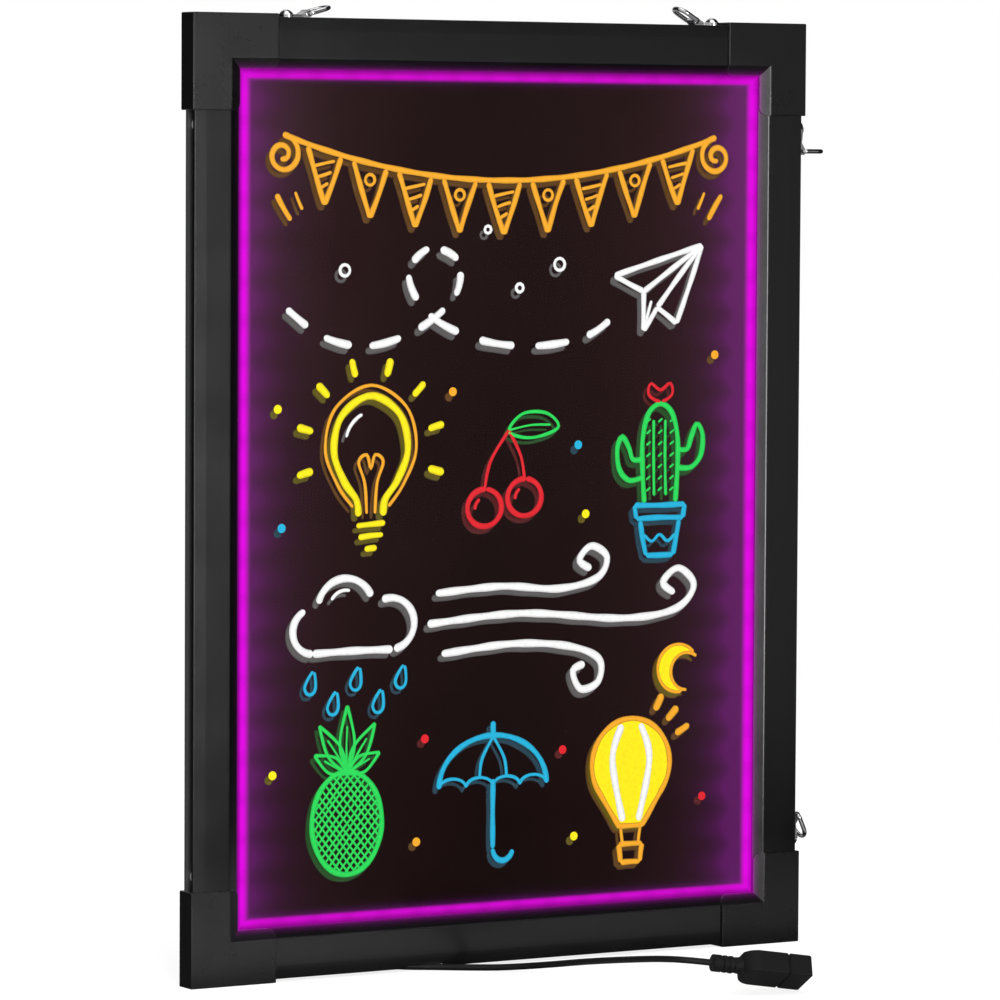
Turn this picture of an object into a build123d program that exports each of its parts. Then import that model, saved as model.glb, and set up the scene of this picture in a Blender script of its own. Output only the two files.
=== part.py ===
from build123d import *
import os
from math import cos, radians, sin, tan

# All sizes are in millimetres. The board stands on the floor z = 0 and faces -Y.

# Overall size, over the corner caps
board_width = 304.8
board_height = 406.4

# Corner caps, which wrap the rail ends
cap_leg = 40.5
cap_side = 1.4
cap_front = 1.1
cap_back = 1.5
cap_edge_radius = 0.5
cap_tip_radius = 3.4
cap_fit = 0.05

# Rail section: u runs inwards from the outer edge, v runs back from the front face
rail_depth = 8.2
face_width = 17.1
facet_width = 5.6
facet_drop = 0.12
bevel_width = 4.6
bevel_drop = 2.0
bevel_round = 2.4
lip_wall = 1.2
rim = 1.6
channel_depth = 3.0
web = 1.2
key_room = 5.5
back_lip = 0.8
rail_edge_radius = 0.35

# Panel, backing sheet and the frosted light bands round its front
panel_thickness = 4.0
sheet_thickness = 0.5
panel_fit = 0.1
panel_corner_radius = 2.0
side_band = 6.6
end_band = 4.8
band_thickness = 0.08
band_cover = 2.7

# Light strips on the floor of the panel groove
strip_thickness = 0.4
strip_width = 4.0
strip_inset = 14.0
panel_gap = 2.0
chip_length = 2.8
chip_width = 3.0
chip_height = 0.9
chip_pitch = 16.7
link_thickness = 0.2
link_width = 3.0
lead_radius = 0.4
lead_spacing = 1.2

# Corner keys and their screws, which sit just past the caps' legs
screw_past_cap = 6.0
key_past_screw = 9.5
key_fit = 0.1
screw_radius = 1.5
screw_fit = 0.08
screw_grip = 4.0
set_head_radius = 2.2
set_head_height = 1.3
socket_radius = 0.95
socket_depth = 0.8

# Hangers: a folded strap, a domed screw and a ring that turns in the fold
strap_thickness = 0.6
strap_end_radius = 3.7
strap_neck = 5.4
strap_taper = 6.0
pivot_reach = 9.5
ring_wire = 1.0
ring_fit = 0.08
ring_width = 10.2
ring_reach = 11.5
ring_corner = 1.2
dome_radius = 3.0
dome_height = 2.0
cross_width = 0.7
cross_length = 3.2
cross_depth = 0.9

# Sides and corners, each a quarter turn from the one before
sides = ("bottom", "left", "top", "right")
corners = ("bottom_left", "top_left", "top_right", "bottom_right")
quarter = 90

# The side that each hanger sits on, the corner it is near, and how far its ring stands up
hangers = {
    "top_left": ("top", "top_left"),
    "top_right": ("top", "top_right"),
    "right_upper": ("right", "top_right"),
    "right_lower": ("right", "bottom_right"),
}
ring_angles = {"top_left": 15, "top_right": 30, "right_upper": 90, "right_lower": 156}

# Cord, its gland in the lower channel and the notch where it crosses the front rim
cord_radius = 1.4
gland_past_key = 22.3
gland_length = 8.0
gland_fit = 0.1
nozzle_length = 5.0
nozzle_radius = 1.45
stem_radius = 2.3
stem_rise = 1.0
notch_past_gland = 26.5
notch_length = 18.0
notch_height = 2.1
notch_radius = 1.0

# Plug, boot and cap; the far nose corner rests on the floor, this far along from the gland and in front
plug_nose = (144.1, -127.6)
plug_yaw = -11.9
plug_pitch = 8.3
plug_roll = -30.5
plug_width = 16.0
plug_thickness = 9.6
body_length = 19.2
plug_cap_length = 10.2
plug_edge_radius = 0.9
shoulder_radius = 7.4
shoulder_trim = 0.7
joint_chamfer = 0.7
cap_wall = 0.85
spigot_wall = 0.6
spigot_length = 2.2
spigot_room = 2.4
spigot_fit = 0.1
boot_length = 12.8
boot_radius = 3.65
boot_core = 2.9
boot_collar = 4.0
boot_rib = 1.9
boot_ribs = 2
boot_round = 0.45
boot_neck = 3.3
boot_sleeve = 3.0

# Contact shell, tongue and contacts inside the plug cap
shell_width = 12.0
shell_height = 4.5
shell_sheet = 0.3
shell_length = 11.6
shell_root = 5.0
shell_fit = 0.15
tongue_thickness = 1.9
tongue_short = 1.0
contact_width = 1.0
contact_height = 0.3
contact_length = 7.4
contact_pitch = 2.2
contact_count = 4

# Route of the cord, chosen by hand, X counted from the gland, and its straight ends
first_run = 8.5
last_run = 12.3
route_middle = [
    (28.0, -0.5, 1.75),
    (38.5, -4.2, 1.4),
    (51.5, -13.2, 1.4),
    (62.0, -21.6, 1.7),
    (70.5, -31.4, 3.0),
    (76.5, -44.0, 5.0),
    (80.0, -59.0, 7.6),
    (82.5, -76.0, 10.2),
    (84.5, -93.0, 12.6),
    (86.6, -108.0, 14.6),
]

# Cutters run past the solids by this much
overrun = 5.0

# Places worked out from the sizes above
frame_width = face_width + bevel_width
cap_depth = cap_front + rail_depth + cap_back
rail_front = cap_front - cap_depth / 2
rail_middle = rail_front + rail_depth / 2
groove_floor = channel_depth + web + key_room + web
groove_back = rail_depth - back_lip
groove_front = groove_back - panel_thickness - sheet_thickness - 2 * panel_fit
groove_middle = rail_front + (groove_front + groove_back) / 2
bevel_slope = bevel_drop / bevel_width
roll_radius = ring_wire + ring_fit + strap_thickness
ring_tip = ring_reach - ring_wire
ring_half = ring_width / 2 - ring_wire
strap_height = 2 * strap_thickness
ring_overhang = roll_radius + ring_tip * sin(radians(ring_angles["right_upper"])) + ring_wire - cap_side
board_x = -ring_overhang / 2
screw_inset = cap_leg + screw_past_cap
key_reach = screw_inset + key_past_screw
gland_x = board_x - board_width / 2 + key_reach + gland_past_key


def box(low, high):
    # a box from its lowest to its highest corner
    size = [b - a for a, b in zip(low, high)]
    middle = [(a + b) / 2 for a, b in zip(low, high)]
    return Pos(*middle) * Box(*size)


def side_length(turns):
    return (board_width if turns % 2 == 0 else board_height) - 2 * cap_side


def on_side(turns):
    # a piece made for the lower side, outer edge on z = 0, goes to any side by quarter turns
    half = (board_height if turns % 2 == 0 else board_width) / 2 - cap_side
    return Pos(board_x, 0, board_height / 2) * Rot(0, quarter * turns, 0) * Pos(0, 0, -half)


def on_corner(name):
    # a piece made with its outer corner at zero and its legs along +X and +Z
    edge = board_width / 2 if "right" in name else -board_width / 2
    height = board_height if "top" in name else 0
    return Pos(board_x + edge, 0, height) * Rot(0, quarter * corners.index(name), 0)


def screw_x(turns, end):
    return end * (side_length(turns) / 2 + cap_side - screw_inset)


def rail_section():
    hook = groove_front - bevel_drop
    lip_end = (groove_front - lip_wall) / bevel_slope
    outline = [
        (0, facet_drop),
        (facet_width, 0),
        (face_width, 0),
        (frame_width, bevel_drop),
        (frame_width, bevel_drop + hook),
        (face_width + lip_end - rim * bevel_slope, groove_front),
        (face_width - lip_wall * bevel_slope, lip_wall),
        (groove_floor, lip_wall),
        (groove_floor, groove_back),
        (frame_width, groove_back),
        (frame_width, rail_depth),
        (0, rail_depth),
        (0, rail_depth - rim),
        (channel_depth, rail_depth - rim),
        (channel_depth, rim),
        (0, rim),
    ]
    points = [(rail_front + v, u) for u, v in outline]
    section = make_face(Polyline(*points, close=True))
    sharp = [(0, facet_drop), (0, rail_depth), (frame_width, bevel_drop)]
    for radius, places in ((rail_edge_radius, sharp), (bevel_round, [(face_width, 0)])):
        for u, v in places:
            spot = Vector(rail_front + v, u, 0)
            vertex = section.vertices().sort_by_distance(spot)[0]
            section = fillet(vertex, radius)
    room = Pos(rail_middle, channel_depth + web + key_room / 2) * Rectangle(rail_depth - 2 * web, key_room)
    return Plane.YZ * (section - room)


def rail(turns):
    # extruded section, mitred at both ends and drilled for the key screws
    half = side_length(turns) / 2
    bar = extrude(rail_section(), amount=half, both=True)
    mitre = Polyline((-half, 0), (half, 0), (half - frame_width, frame_width),
                     (frame_width - half, frame_width), close=True)
    bar = bar & extrude(Plane.XZ * make_face(mitre), amount=cap_depth, both=True)
    for end in (-1, 1):
        hole = Cylinder(screw_radius + screw_fit, web + key_room)
        bar -= Pos(screw_x(turns, end), rail_middle, channel_depth) * hole
    return bar


def bottom_rail():
    # the lower rail also lets the cord in, and out over a notch in its front rim
    bar = rail(sides.index("bottom"))
    port = Cylinder(stem_radius + gland_fit, web + key_room)
    bar -= Pos(gland_x - board_x, rail_middle, channel_depth) * port
    lead_hole = Cylinder(lead_spacing + lead_radius, web + key_room)
    bar -= Pos(gland_x - board_x, rail_middle, groove_floor) * lead_hole
    left = gland_x + notch_past_gland - board_x
    right = left + notch_length
    slot = Polyline((left, -overrun), (right, -overrun), (right, notch_height), (left, notch_height), close=True)
    face = make_face(slot)
    face = fillet(face.vertices().group_by(Axis.Y)[-1], notch_radius)
    cutter = extrude(Plane.XZ * face, amount=overrun)
    return bar - Pos(0, rail_front + rim, 0) * cutter


def bevel_cutter(edge, front, reach):
    # what lies in front of the inner bevel and its rounded crest: two wedges, met on the mitre line
    drop = reach * bevel_slope
    low = edge - bevel_round
    wedge = Polyline((front, low), (front, edge), (front + drop, edge + reach), (front - overrun, edge + reach),
                     (front - overrun, low), close=True)
    face = make_face(wedge)
    face = fillet(face.vertices().sort_by_distance((front, edge, 0))[0], bevel_round)
    along = extrude(Plane.YZ * face, amount=reach + edge)
    up = Rot(0, -quarter, 0) * mirror(along, about=Plane.XY)
    return along & up


def corner_cap():
    tip = frame_width + cap_side
    outline = Polyline((0, 0), (cap_leg, 0), (cap_leg, tip), (tip, tip), (tip, cap_leg), (0, cap_leg), close=True)
    plan = make_face(outline)
    for spot in ((cap_leg, tip, 0), (tip, cap_leg, 0)):
        plan = fillet(plan.vertices().sort_by_distance(spot)[0], cap_tip_radius)
    for spot in ((0, 0, 0), (cap_leg, 0, 0), (0, cap_leg, 0)):
        plan = fillet(plan.vertices().sort_by_distance(spot)[0], cap_edge_radius)
    block = extrude(Plane.XZ * plan, amount=cap_depth / 2, both=True)
    outer = block.edges().filter_by(Plane.XZ)
    outer = outer.filter_by(lambda e: min(e.center().X, e.center().Z) < cap_edge_radius)
    block = fillet(outer, cap_edge_radius - cap_fit)
    reach = cap_leg + overrun
    block -= bevel_cutter(cap_side + face_width, -cap_depth / 2, reach)
    low = cap_side - cap_fit
    room = box((low, rail_front - cap_fit, low), (reach, rail_front + rail_depth + cap_fit, reach))
    room -= bevel_cutter(cap_side + face_width, rail_front - cap_fit, reach)
    return block - room


def corner_key():
    # two legs in the key rooms of both rails, tapped for the screws
    near = cap_side + channel_depth + web + key_fit
    far = near + key_room - 2 * key_fit
    front = rail_front + web + key_fit
    back = rail_front + rail_depth - web - key_fit
    key = box((near, front, near), (key_reach, back, far))
    key += box((near, front, near), (far, back, key_reach))
    hole = Cylinder(screw_radius + screw_fit, 2 * key_room)
    key -= Pos(screw_inset, rail_middle, near) * hole
    key -= Pos(near, rail_middle, screw_inset) * Rot(0, quarter, 0) * hole
    return key


def set_screw():
    # low head in the rail channel, shank down through the web; made with +Z outwards
    head = Pos(0, 0, set_head_height / 2) * Cylinder(set_head_radius, set_head_height)
    head = fillet(head.edges().group_by(Axis.Z)[-1], set_head_height / 3)
    socket = extrude(RegularPolygon(socket_radius, 6), amount=socket_depth)
    head -= Pos(0, 0, set_head_height - socket_depth) * socket
    length = web + screw_grip
    return head + Pos(0, 0, -length / 2) * Cylinder(screw_radius, length)


def dome_screw():
    # domed head on the strap, shank through strap, channel and web; made with +Z outwards
    bulge = (dome_radius ** 2 + dome_height ** 2) / (2 * dome_height)
    dome = Pos(0, 0, dome_height - bulge) * Sphere(bulge)
    dome &= Pos(0, 0, dome_height) * Box(2 * dome_radius, 2 * dome_radius, 2 * dome_height)
    for turn in (0, quarter):
        slot = Rot(0, 0, turn) * Box(cross_length, cross_width, 2 * cross_depth)
        dome -= Pos(0, 0, dome_height) * slot
    length = strap_height + channel_depth + web + screw_grip
    shank = Cylinder(screw_radius, length)
    return Pos(0, 0, strap_height) * (dome + Pos(0, 0, -length / 2) * shank)


def strap():
    # screw at zero, fold round the ring at pivot_reach, rail rims on z = 0
    neck = strap_neck / 2
    plan = Polyline((0, -strap_end_radius), (strap_taper, -neck), (pivot_reach, -neck), (pivot_reach, neck),
                    (strap_taper, neck), (0, strap_end_radius), close=True)
    leaf = extrude(make_face(plan) + Circle(strap_end_radius), amount=strap_height)
    crest = 2 * roll_radius * sin(radians(quarter * 2 / 3))
    rise = Polyline((pivot_reach - crest - roll_radius / 2, strap_height), (pivot_reach - roll_radius / 2, crest),
                    (pivot_reach, roll_radius), (pivot_reach, strap_height), close=True)
    leaf += extrude(Plane.XZ * make_face(rise), amount=neck, both=True)
    fold = Pos(pivot_reach, 0, roll_radius) * Rot(quarter, 0, 0)
    leaf += fold * Cylinder(roll_radius, strap_neck)
    leaf -= fold * Cylinder(ring_wire + ring_fit, 2 * strap_neck)
    hole = Cylinder(screw_radius + screw_fit, 2 * strap_height + overrun)
    return leaf - hole


def ring():
    # closed wire loop: bar on the Y axis through zero, far end at ring_tip along +X
    side = ring_tip - ring_half
    bar = ring_half - ring_corner
    path = Wire([
        Line((0, -bar), (0, bar)),
        RadiusArc((0, bar), (ring_corner, ring_half), ring_corner),
        Line((ring_corner, ring_half), (side, ring_half)),
        RadiusArc((side, ring_half), (ring_tip, 0), ring_half),
        RadiusArc((ring_tip, 0), (side, -ring_half), ring_half),
        Line((side, -ring_half), (ring_corner, -ring_half)),
        RadiusArc((ring_corner, -ring_half), (0, -bar), ring_corner),
    ])
    wire = Plane(origin=(0, -bar, 0), z_dir=(0, 1, 0)) * Circle(ring_wire)
    return sweep(wire, path=path)


def hanger_frame(name):
    # from the hanger's own frame (screw axis, rims on z = 0, +Z outwards) to its side
    side, corner = hangers[name]
    turns = sides.index(side)
    end = -1 if corners.index(corner) == turns else 1
    flip = Rot(0, 2 * quarter, 0) if end > 0 else Rot(2 * quarter, 0, 0)
    return on_side(turns) * Pos(screw_x(turns, end), rail_middle, 0) * flip


def ring_pivot(name):
    return hanger_frame(name) * Pos(pivot_reach, 0, roll_radius)


def led_strip(turns):
    # flexible strip on the groove floor with a row of light chips
    half = side_length(turns) / 2 - strip_inset
    low = groove_floor + strip_thickness
    front = groove_middle - strip_width / 2
    strip = box((-half, front, groove_floor), (half, front + strip_width, low))
    count = int((2 * half - chip_length) / chip_pitch)
    chips = [Pos((i - count / 2) * chip_pitch, groove_middle, low + chip_height / 2)
             * Box(chip_length, chip_width, chip_height) for i in range(count + 1)]
    return strip + chips


def strip_link():
    # thin flexible corner piece from the end of one strip to the next
    near = cap_side + groove_floor
    far = cap_side + strip_inset
    front = groove_middle - link_width / 2
    link = box((near, front, near), (far, front + link_width, near + link_thickness))
    return link + box((near, front, near), (near + link_thickness, front + link_width, far))


def inner_leads():
    # four thin leads from the gland's stem up to the lower light strip
    low = cap_side + channel_depth + web + stem_rise
    high = cap_side + groove_floor
    leads = []
    for across in (-1, 1):
        for back in (-1, 1):
            spot = Pos(gland_x + across * lead_spacing / 2, rail_middle + back * lead_spacing / 2, (low + high) / 2)
            leads.append(spot * Cylinder(lead_radius, high - low))
    return leads


def panel(front, thickness):
    # a sheet in the panel groove, front and thickness counted back from the rail's face
    inset = cap_side + groove_floor + panel_gap
    plate = RectangleRounded(board_width - 2 * inset, board_height - 2 * inset, panel_corner_radius)
    sheet = extrude(Plane.XZ * plate, amount=-thickness)
    return Pos(board_x, rail_front + front, board_height / 2) * sheet


def light_band(turns):
    # frosted band on the front of the panel, just inside the lip and a little under it
    across = side_band if turns % 2 else end_band
    inner = frame_width + across
    outer = frame_width - band_cover
    half = side_length(turns) / 2 - (outer if turns % 2 else frame_width + side_band)
    back = rail_front + groove_front + panel_fit
    return box((-half, back - band_thickness, outer), (half, back, inner))


def cable_gland():
    # moulded block in the lower channel, nozzle to the right, stem up through the web
    middle = cap_side + channel_depth / 2
    half = (rail_depth / 2 - rim) - gland_fit
    low = cap_side + gland_fit
    high = cap_side + channel_depth
    start = gland_x - gland_length / 2
    end = gland_x + gland_length / 2
    block = box((start, rail_middle - half, low), (end, rail_middle + half, high))
    block = fillet(block.edges().filter_by(Axis.Z), half / 4)
    stem_height = web + stem_rise
    block += Pos(gland_x, rail_middle, high + stem_height / 2) * Cylinder(stem_radius, stem_height)
    root = high - middle - gland_fit
    cone = Cone(root, nozzle_radius, nozzle_length)
    return block + Pos(end + nozzle_length / 2, rail_middle, middle) * Rot(0, quarter, 0) * cone


# The plug leans on its far nose corner: axis, up and the place of its cable end
turn, dip, lean = radians(plug_yaw), radians(plug_pitch), radians(plug_roll)
plug_axis = Vector(cos(turn) * cos(dip), sin(turn) * cos(dip), -sin(dip))
level_near = Vector(sin(turn), -cos(turn), 0)
level_up = level_near.cross(plug_axis)
plug_up = level_up * cos(lean) + level_near * sin(lean)
plug_near = level_near * cos(lean) - level_up * sin(lean)
corner_gap = plug_edge_radius * (abs(plug_axis.Z) + abs(plug_near.Z) + abs(plug_up.Z) - 1)
nose_corner = Vector(gland_x, 0, 0) + Vector(*plug_nose, -corner_gap)
plug_length = body_length + plug_cap_length
plug_root = nose_corner - plug_axis * plug_length + plug_near * plug_width / 2 + plug_up * plug_thickness / 2
plug_plane = Plane(origin=plug_root, x_dir=plug_axis, z_dir=plug_up)
boot_end = plug_root - plug_axis * boot_length
cord_start = (gland_x + gland_length / 2 + nozzle_length, rail_middle, cap_side + channel_depth / 2)


def power_cord():
    # straight runs joined by tangent arcs, each as large as its two runs allow
    points = [Vector(*cord_start), Vector(*cord_start) + Vector(first_run, 0, 0)]
    points += [Vector(gland_x, 0, 0) + Vector(*p) for p in route_middle]
    points += [boot_end - plug_axis * last_run, boot_end]
    runs = [b - a for a, b in zip(points, points[1:])]
    arc_share = 0.45
    radii = []
    for before, after in zip(runs, runs[1:]):
        bend = radians(before.get_angle(after))
        radii.append(arc_share * min(before.length, after.length) / tan(bend / 2))
    print("cord runs", [round(r.length, 1) for r in runs])
    print("cord radii", [round(r, 1) for r in radii])
    path = FilletPolyline(*points, radius=radii)
    start = Plane(origin=path @ 0, z_dir=path % 0)
    tube = sweep(start * Circle(cord_radius), path=path)
    ideal = Circle(cord_radius).area * path.length
    print("cord length", round(path.length, 1), "volume", round(tube.volume, 1), "of", round(ideal, 1))
    return tube


def plug_boot():
    # strain relief: a core with a long collar at the cord, ribs, and a sleeve at the plug
    base = (Align.CENTER, Align.CENTER, Align.MIN)
    boot = Cylinder(boot_core, boot_length, align=base) + Cone(boot_radius, boot_neck, boot_sleeve, align=base)
    lengths = [boot_collar] + [boot_rib] * boot_ribs
    gap = (boot_length - boot_sleeve - sum(lengths)) / len(lengths)
    end = boot_length
    for length in lengths:
        rib = Cylinder(boot_radius, length)
        rib = fillet(rib.edges().filter_by(GeomType.CIRCLE), boot_round)
        boot += Pos(0, 0, end - length / 2) * rib
        end -= length + gap
    return plug_plane * (Rot(0, -quarter, 0) * boot)


def plug_block(start, length, shoulder):
    # rounded box along +X; at the cable end the plan is round, trimmed flat where the boot seats
    if shoulder:
        plan = Pos(start + (length - shoulder_trim) / 2, 0) * Rectangle(length + shoulder_trim, plug_width)
        plan = fillet(plan.vertices().group_by(Axis.X)[0], shoulder_radius)
        plan &= Pos(start + length / 2, 0) * Rectangle(length, plug_width)
    else:
        plan = Pos(start + length / 2, 0) * Rectangle(length, plug_width)
        plan = fillet(plan.vertices().group_by(Axis.X)[-1], plug_edge_radius)
    block = extrude(plan, amount=plug_thickness / 2, both=True)
    face_x = start + length if shoulder else start
    near = joint_chamfer / 2
    rest = block.edges().filter_by(lambda e: abs(e.center().X - face_x) > near and abs(e.center().Z) > near)
    block = fillet(rest, plug_edge_radius)
    joint = block.faces().sort_by_distance((face_x, 0, 0))[0]
    return chamfer(joint.edges(), joint_chamfer)


def shell_box(low, high, shrink):
    half_width = shell_width / 2 - shrink
    half_height = shell_height / 2 - shrink
    return box((low, -half_width, -half_height), (high, half_width, half_height))


def plug_body():
    # overmould, with a pocket for the cap's spigot and a seat for the shell
    block = plug_block(0, body_length, True)
    pocket = -shell_fit - spigot_wall - spigot_fit
    block -= shell_box(body_length - spigot_room, body_length + overrun, pocket)
    return plug_plane * (block - shell_box(body_length - spigot_room - shell_root, body_length, 0))


def plug_cap():
    # pull-off cap, whose spigot enters the overmould round the shell
    block = plug_block(body_length, plug_cap_length, False)
    block += shell_box(body_length - spigot_length, body_length + overrun, -shell_fit - spigot_wall)
    end = body_length + plug_cap_length - cap_wall
    return plug_plane * (block - shell_box(body_length - spigot_length - overrun, end, -shell_fit))


def usb_shell():
    low = body_length - spigot_room - shell_root
    high = body_length - spigot_room + shell_length
    return plug_plane * (shell_box(low, high, 0) - shell_box(low - overrun, high + overrun, shell_sheet))


def usb_tongue():
    low = body_length - spigot_room - shell_root
    high = body_length - spigot_room + shell_length - tongue_short
    top = shell_height / 2 - shell_sheet
    half_width = shell_width / 2 - shell_sheet
    tongue = shell_box(low, low + shell_root, shell_sheet)
    plate = box((low + shell_root, -half_width, top - tongue_thickness), (high, half_width, top))
    return plug_plane * (tongue + plate)


def usb_contacts():
    high = body_length - spigot_room + shell_length - 2 * tongue_short
    top = shell_height / 2 - shell_sheet - tongue_thickness
    strips = []
    for i in range(contact_count):
        middle = (i - (contact_count - 1) / 2) * contact_pitch
        low_corner = (high - contact_length, middle - contact_width / 2, top - contact_height)
        strips.append(plug_plane * box(low_corner, (high, middle + contact_width / 2, top)))
    return strips


def save(name, pieces):
    solids = list(pieces) if isinstance(pieces, (list, tuple)) else [pieces]
    export_step(Compound(children=solids) if len(solids) > 1 else solids[0], f"parts/{name}.step")


def main():
    os.makedirs("parts", exist_ok=True)
    for turns, name in enumerate(sides):
        bar = bottom_rail() if name == "bottom" else rail(turns)
        save(f"rail_{name}", on_side(turns) * bar)
        save(f"led_strip_{name}", on_side(turns) * led_strip(turns))
        save(f"light_band_{name}", on_side(turns) * light_band(turns))

    cap = corner_cap()
    key = corner_key()
    for name in corners:
        save(f"corner_cap_{name}", on_corner(name) * cap)
        save(f"corner_key_{name}", on_corner(name) * key)
    link = strip_link()
    save("strip_links", [on_corner(name) * link for name in corners[:-1]])

    save("writing_panel", panel(groove_front + panel_fit, panel_thickness))
    save("back_sheet", panel(groove_front + panel_fit + panel_thickness, sheet_thickness))

    bare = [(sides.index(name), end) for name in ("bottom", "left") for end in (-1, 1)]
    outwards = Rot(2 * quarter, 0, 0)
    screw = set_screw()
    save("key_screws", [on_side(t) * Pos(screw_x(t, e), rail_middle, channel_depth) * outwards * screw
                        for t, e in bare])

    leaf, loop, dome = strap(), ring(), dome_screw()
    for name in hangers:
        save(f"hanger_strap_{name}", hanger_frame(name) * leaf)
        save(f"hanger_ring_{name}", ring_pivot(name) * Rot(0, -ring_angles[name], 0) * loop)
        spot = ring_pivot(name).position
        print("ring pivot", name, [round(c, 3) for c in spot])
    save("hanger_screws", [hanger_frame(name) * dome for name in hangers])

    save("inner_leads", inner_leads())
    save("cable_gland", cable_gland())
    save("power_cord", power_cord())
    save("plug_boot", plug_boot())
    save("plug_body", plug_body())
    save("plug_cap", plug_cap())
    save("usb_shell", usb_shell())
    save("usb_tongue", usb_tongue())
    save("usb_contacts", usb_contacts())
    print("board centre x", round(board_x, 3), "plug axis", plug_axis, "plug up", plug_up)
    print("plug root", plug_root, "boot end", boot_end, "cord start", cord_start)


main()
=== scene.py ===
import math
import random

import bmesh
import bpy
from mathutils import Matrix, Vector
from mathutils.geometry import tessellate_polygon


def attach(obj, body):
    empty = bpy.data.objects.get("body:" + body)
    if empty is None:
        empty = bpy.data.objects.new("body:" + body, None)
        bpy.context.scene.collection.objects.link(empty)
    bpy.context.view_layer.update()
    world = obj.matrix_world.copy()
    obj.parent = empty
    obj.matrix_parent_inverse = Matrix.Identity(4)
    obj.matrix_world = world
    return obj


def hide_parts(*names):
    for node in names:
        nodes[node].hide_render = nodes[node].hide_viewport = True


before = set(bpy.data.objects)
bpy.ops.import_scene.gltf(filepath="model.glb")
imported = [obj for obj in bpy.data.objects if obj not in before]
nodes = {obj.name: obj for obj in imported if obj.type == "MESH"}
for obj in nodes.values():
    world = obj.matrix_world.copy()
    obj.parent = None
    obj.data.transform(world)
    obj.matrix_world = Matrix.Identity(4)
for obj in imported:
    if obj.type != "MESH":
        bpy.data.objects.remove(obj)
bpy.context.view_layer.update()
scene = bpy.context.scene
scene.view_settings.view_transform = "Standard"
mm = 0.001
print("frame loaded with", len(nodes), "nodes")


def addObject(name, data):
    piece = bpy.data.objects.new(name, data)
    scene.collection.objects.link(piece)
    return piece


# Places in the frame that the looks below refer to, in millimetres
board = {
    "centreX": -5.89,  # middle of the panel opening
    "centreZ": 203.2,
    "halfX": 129.3,  # half the opening inside the rails
    "halfZ": 180.1,
    "panelFront": -1.5,
    "sheetFront": 2.5,
    "sideBand": 6.6,
    "endBand": 4.8,
    "chipPitch": 16.7,
}


# Camera

cameraView = {
    "place": (-1.2527, -2.0788, 0.3476),
    "turn": 30.9468,  # degrees from +Y towards +X
    "tilt": -3.4796,
    "roll": 0.3176,
    "lens": 203.66,
    "sensor": 36.0,
}


def placeCamera(v):
    turn, tilt, roll = (math.radians(v[k]) for k in ("turn", "tilt", "roll"))
    ahead = Vector((math.sin(turn) * math.cos(tilt), math.cos(turn) * math.cos(tilt), math.sin(tilt)))
    across = Vector((math.cos(turn), -math.sin(turn), 0))
    up = across.cross(ahead)
    right = across * math.cos(roll) + up * math.sin(roll)
    over = up * math.cos(roll) - across * math.sin(roll)
    data = bpy.data.cameras.new("camera")
    data.lens, data.sensor_width = v["lens"], v["sensor"]
    data.clip_start, data.clip_end = 0.05, 60
    camera = addObject("camera", data)
    turned = Matrix((right, over, -ahead)).transposed()
    camera.matrix_world = Matrix.Translation(v["place"]) @ turned.to_4x4()
    scene.camera = camera


placeCamera(cameraView)
print("camera placed")


# Cord

cordRun = {
    "points": [  # millimetres, chosen along the photographed line
        (-70.99, -0.2, 2.9), (-62.49, -0.2, 2.9), (-51.99, -0.5, 1.75), (-41.49, -4.2, 1.4),
        (-28.49, -13.2, 1.4), (-17.99, -21.6, 1.7), (-9.49, -31.4, 3.0), (-3.49, -44.0, 5.0),
        (0.01, -59.0, 7.6), (2.51, -76.0, 10.2), (4.51, -93.0, 12.6), (6.61, -108.0, 14.6),
        (11.578, -121.084, 15.528), (23.488, -123.594, 13.753),
    ],
    "diameter": 2.8,
    "length": 177.1,
}


def layCord(v):
    curve = bpy.data.curves.new("leadCord", "CURVE")
    curve.dimensions = "3D"
    spline = curve.splines.new("NURBS")
    spline.points.add(len(v["points"]) - 1)
    for point, place in zip(spline.points, v["points"]):
        point.co = (*(c * mm for c in place), 1)
        point.radius = v["diameter"] / 2 * mm
    spline.order_u = 3
    spline.use_endpoint_u = True
    spline.resolution_u = 12
    curve.bevel_depth = 1.0  # times each point's radius
    curve.bevel_resolution = 6
    curve.use_fill_caps = True
    cord = addObject("leadCord", curve)
    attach(cord, "board")
    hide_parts("power_cord")
    return cord


leadCord = layCord(cordRun)
print("cord laid")


# Short forms for shader nodes

black = (0.0, 0.0, 0.0)


def setInput(node, name, value):
    socket = node.inputs[name]
    if isinstance(value, bpy.types.NodeSocket):
        node.id_data.links.new(value, socket)
    elif isinstance(value, tuple) and len(value) == 3 and len(socket.default_value) == 4:
        socket.default_value = (*value, 1)
    else:
        socket.default_value = value


def addNode(tree, kind, inputs=None, **settings):
    node = tree.nodes.new("ShaderNode" + kind)
    for name, value in settings.items():
        setattr(node, name, value)
    for name, value in (inputs or {}).items():
        setInput(node, name, value)
    return node


def doMath(tree, operation, a, b=0.0, clamp=False):
    return addNode(tree, "Math", {0: a, 1: b}, operation=operation, use_clamp=clamp).outputs[0]


def times(tree, a, b, clamp=False):
    return doMath(tree, "MULTIPLY", a, b, clamp)


def doVector(tree, operation, a, b=black):
    return addNode(tree, "VectorMath", {0: a, 1: b}, operation=operation).outputs


def remap(tree, value, low, high, toLow=0.0, toHigh=1.0, smooth=False):
    inputs = {"Value": value, "From Min": low, "From Max": high, "To Min": toLow, "To Max": toHigh}
    kind = "SMOOTHSTEP" if smooth else "LINEAR"
    return addNode(tree, "MapRange", inputs, interpolation_type=kind).outputs["Result"]


def ofNoise(tree, value, low=0.0, high=1.0):
    # noise keeps near 0.5, so its middle is stretched over the range
    return remap(tree, value, 0.3, 0.7, low, high)


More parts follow.
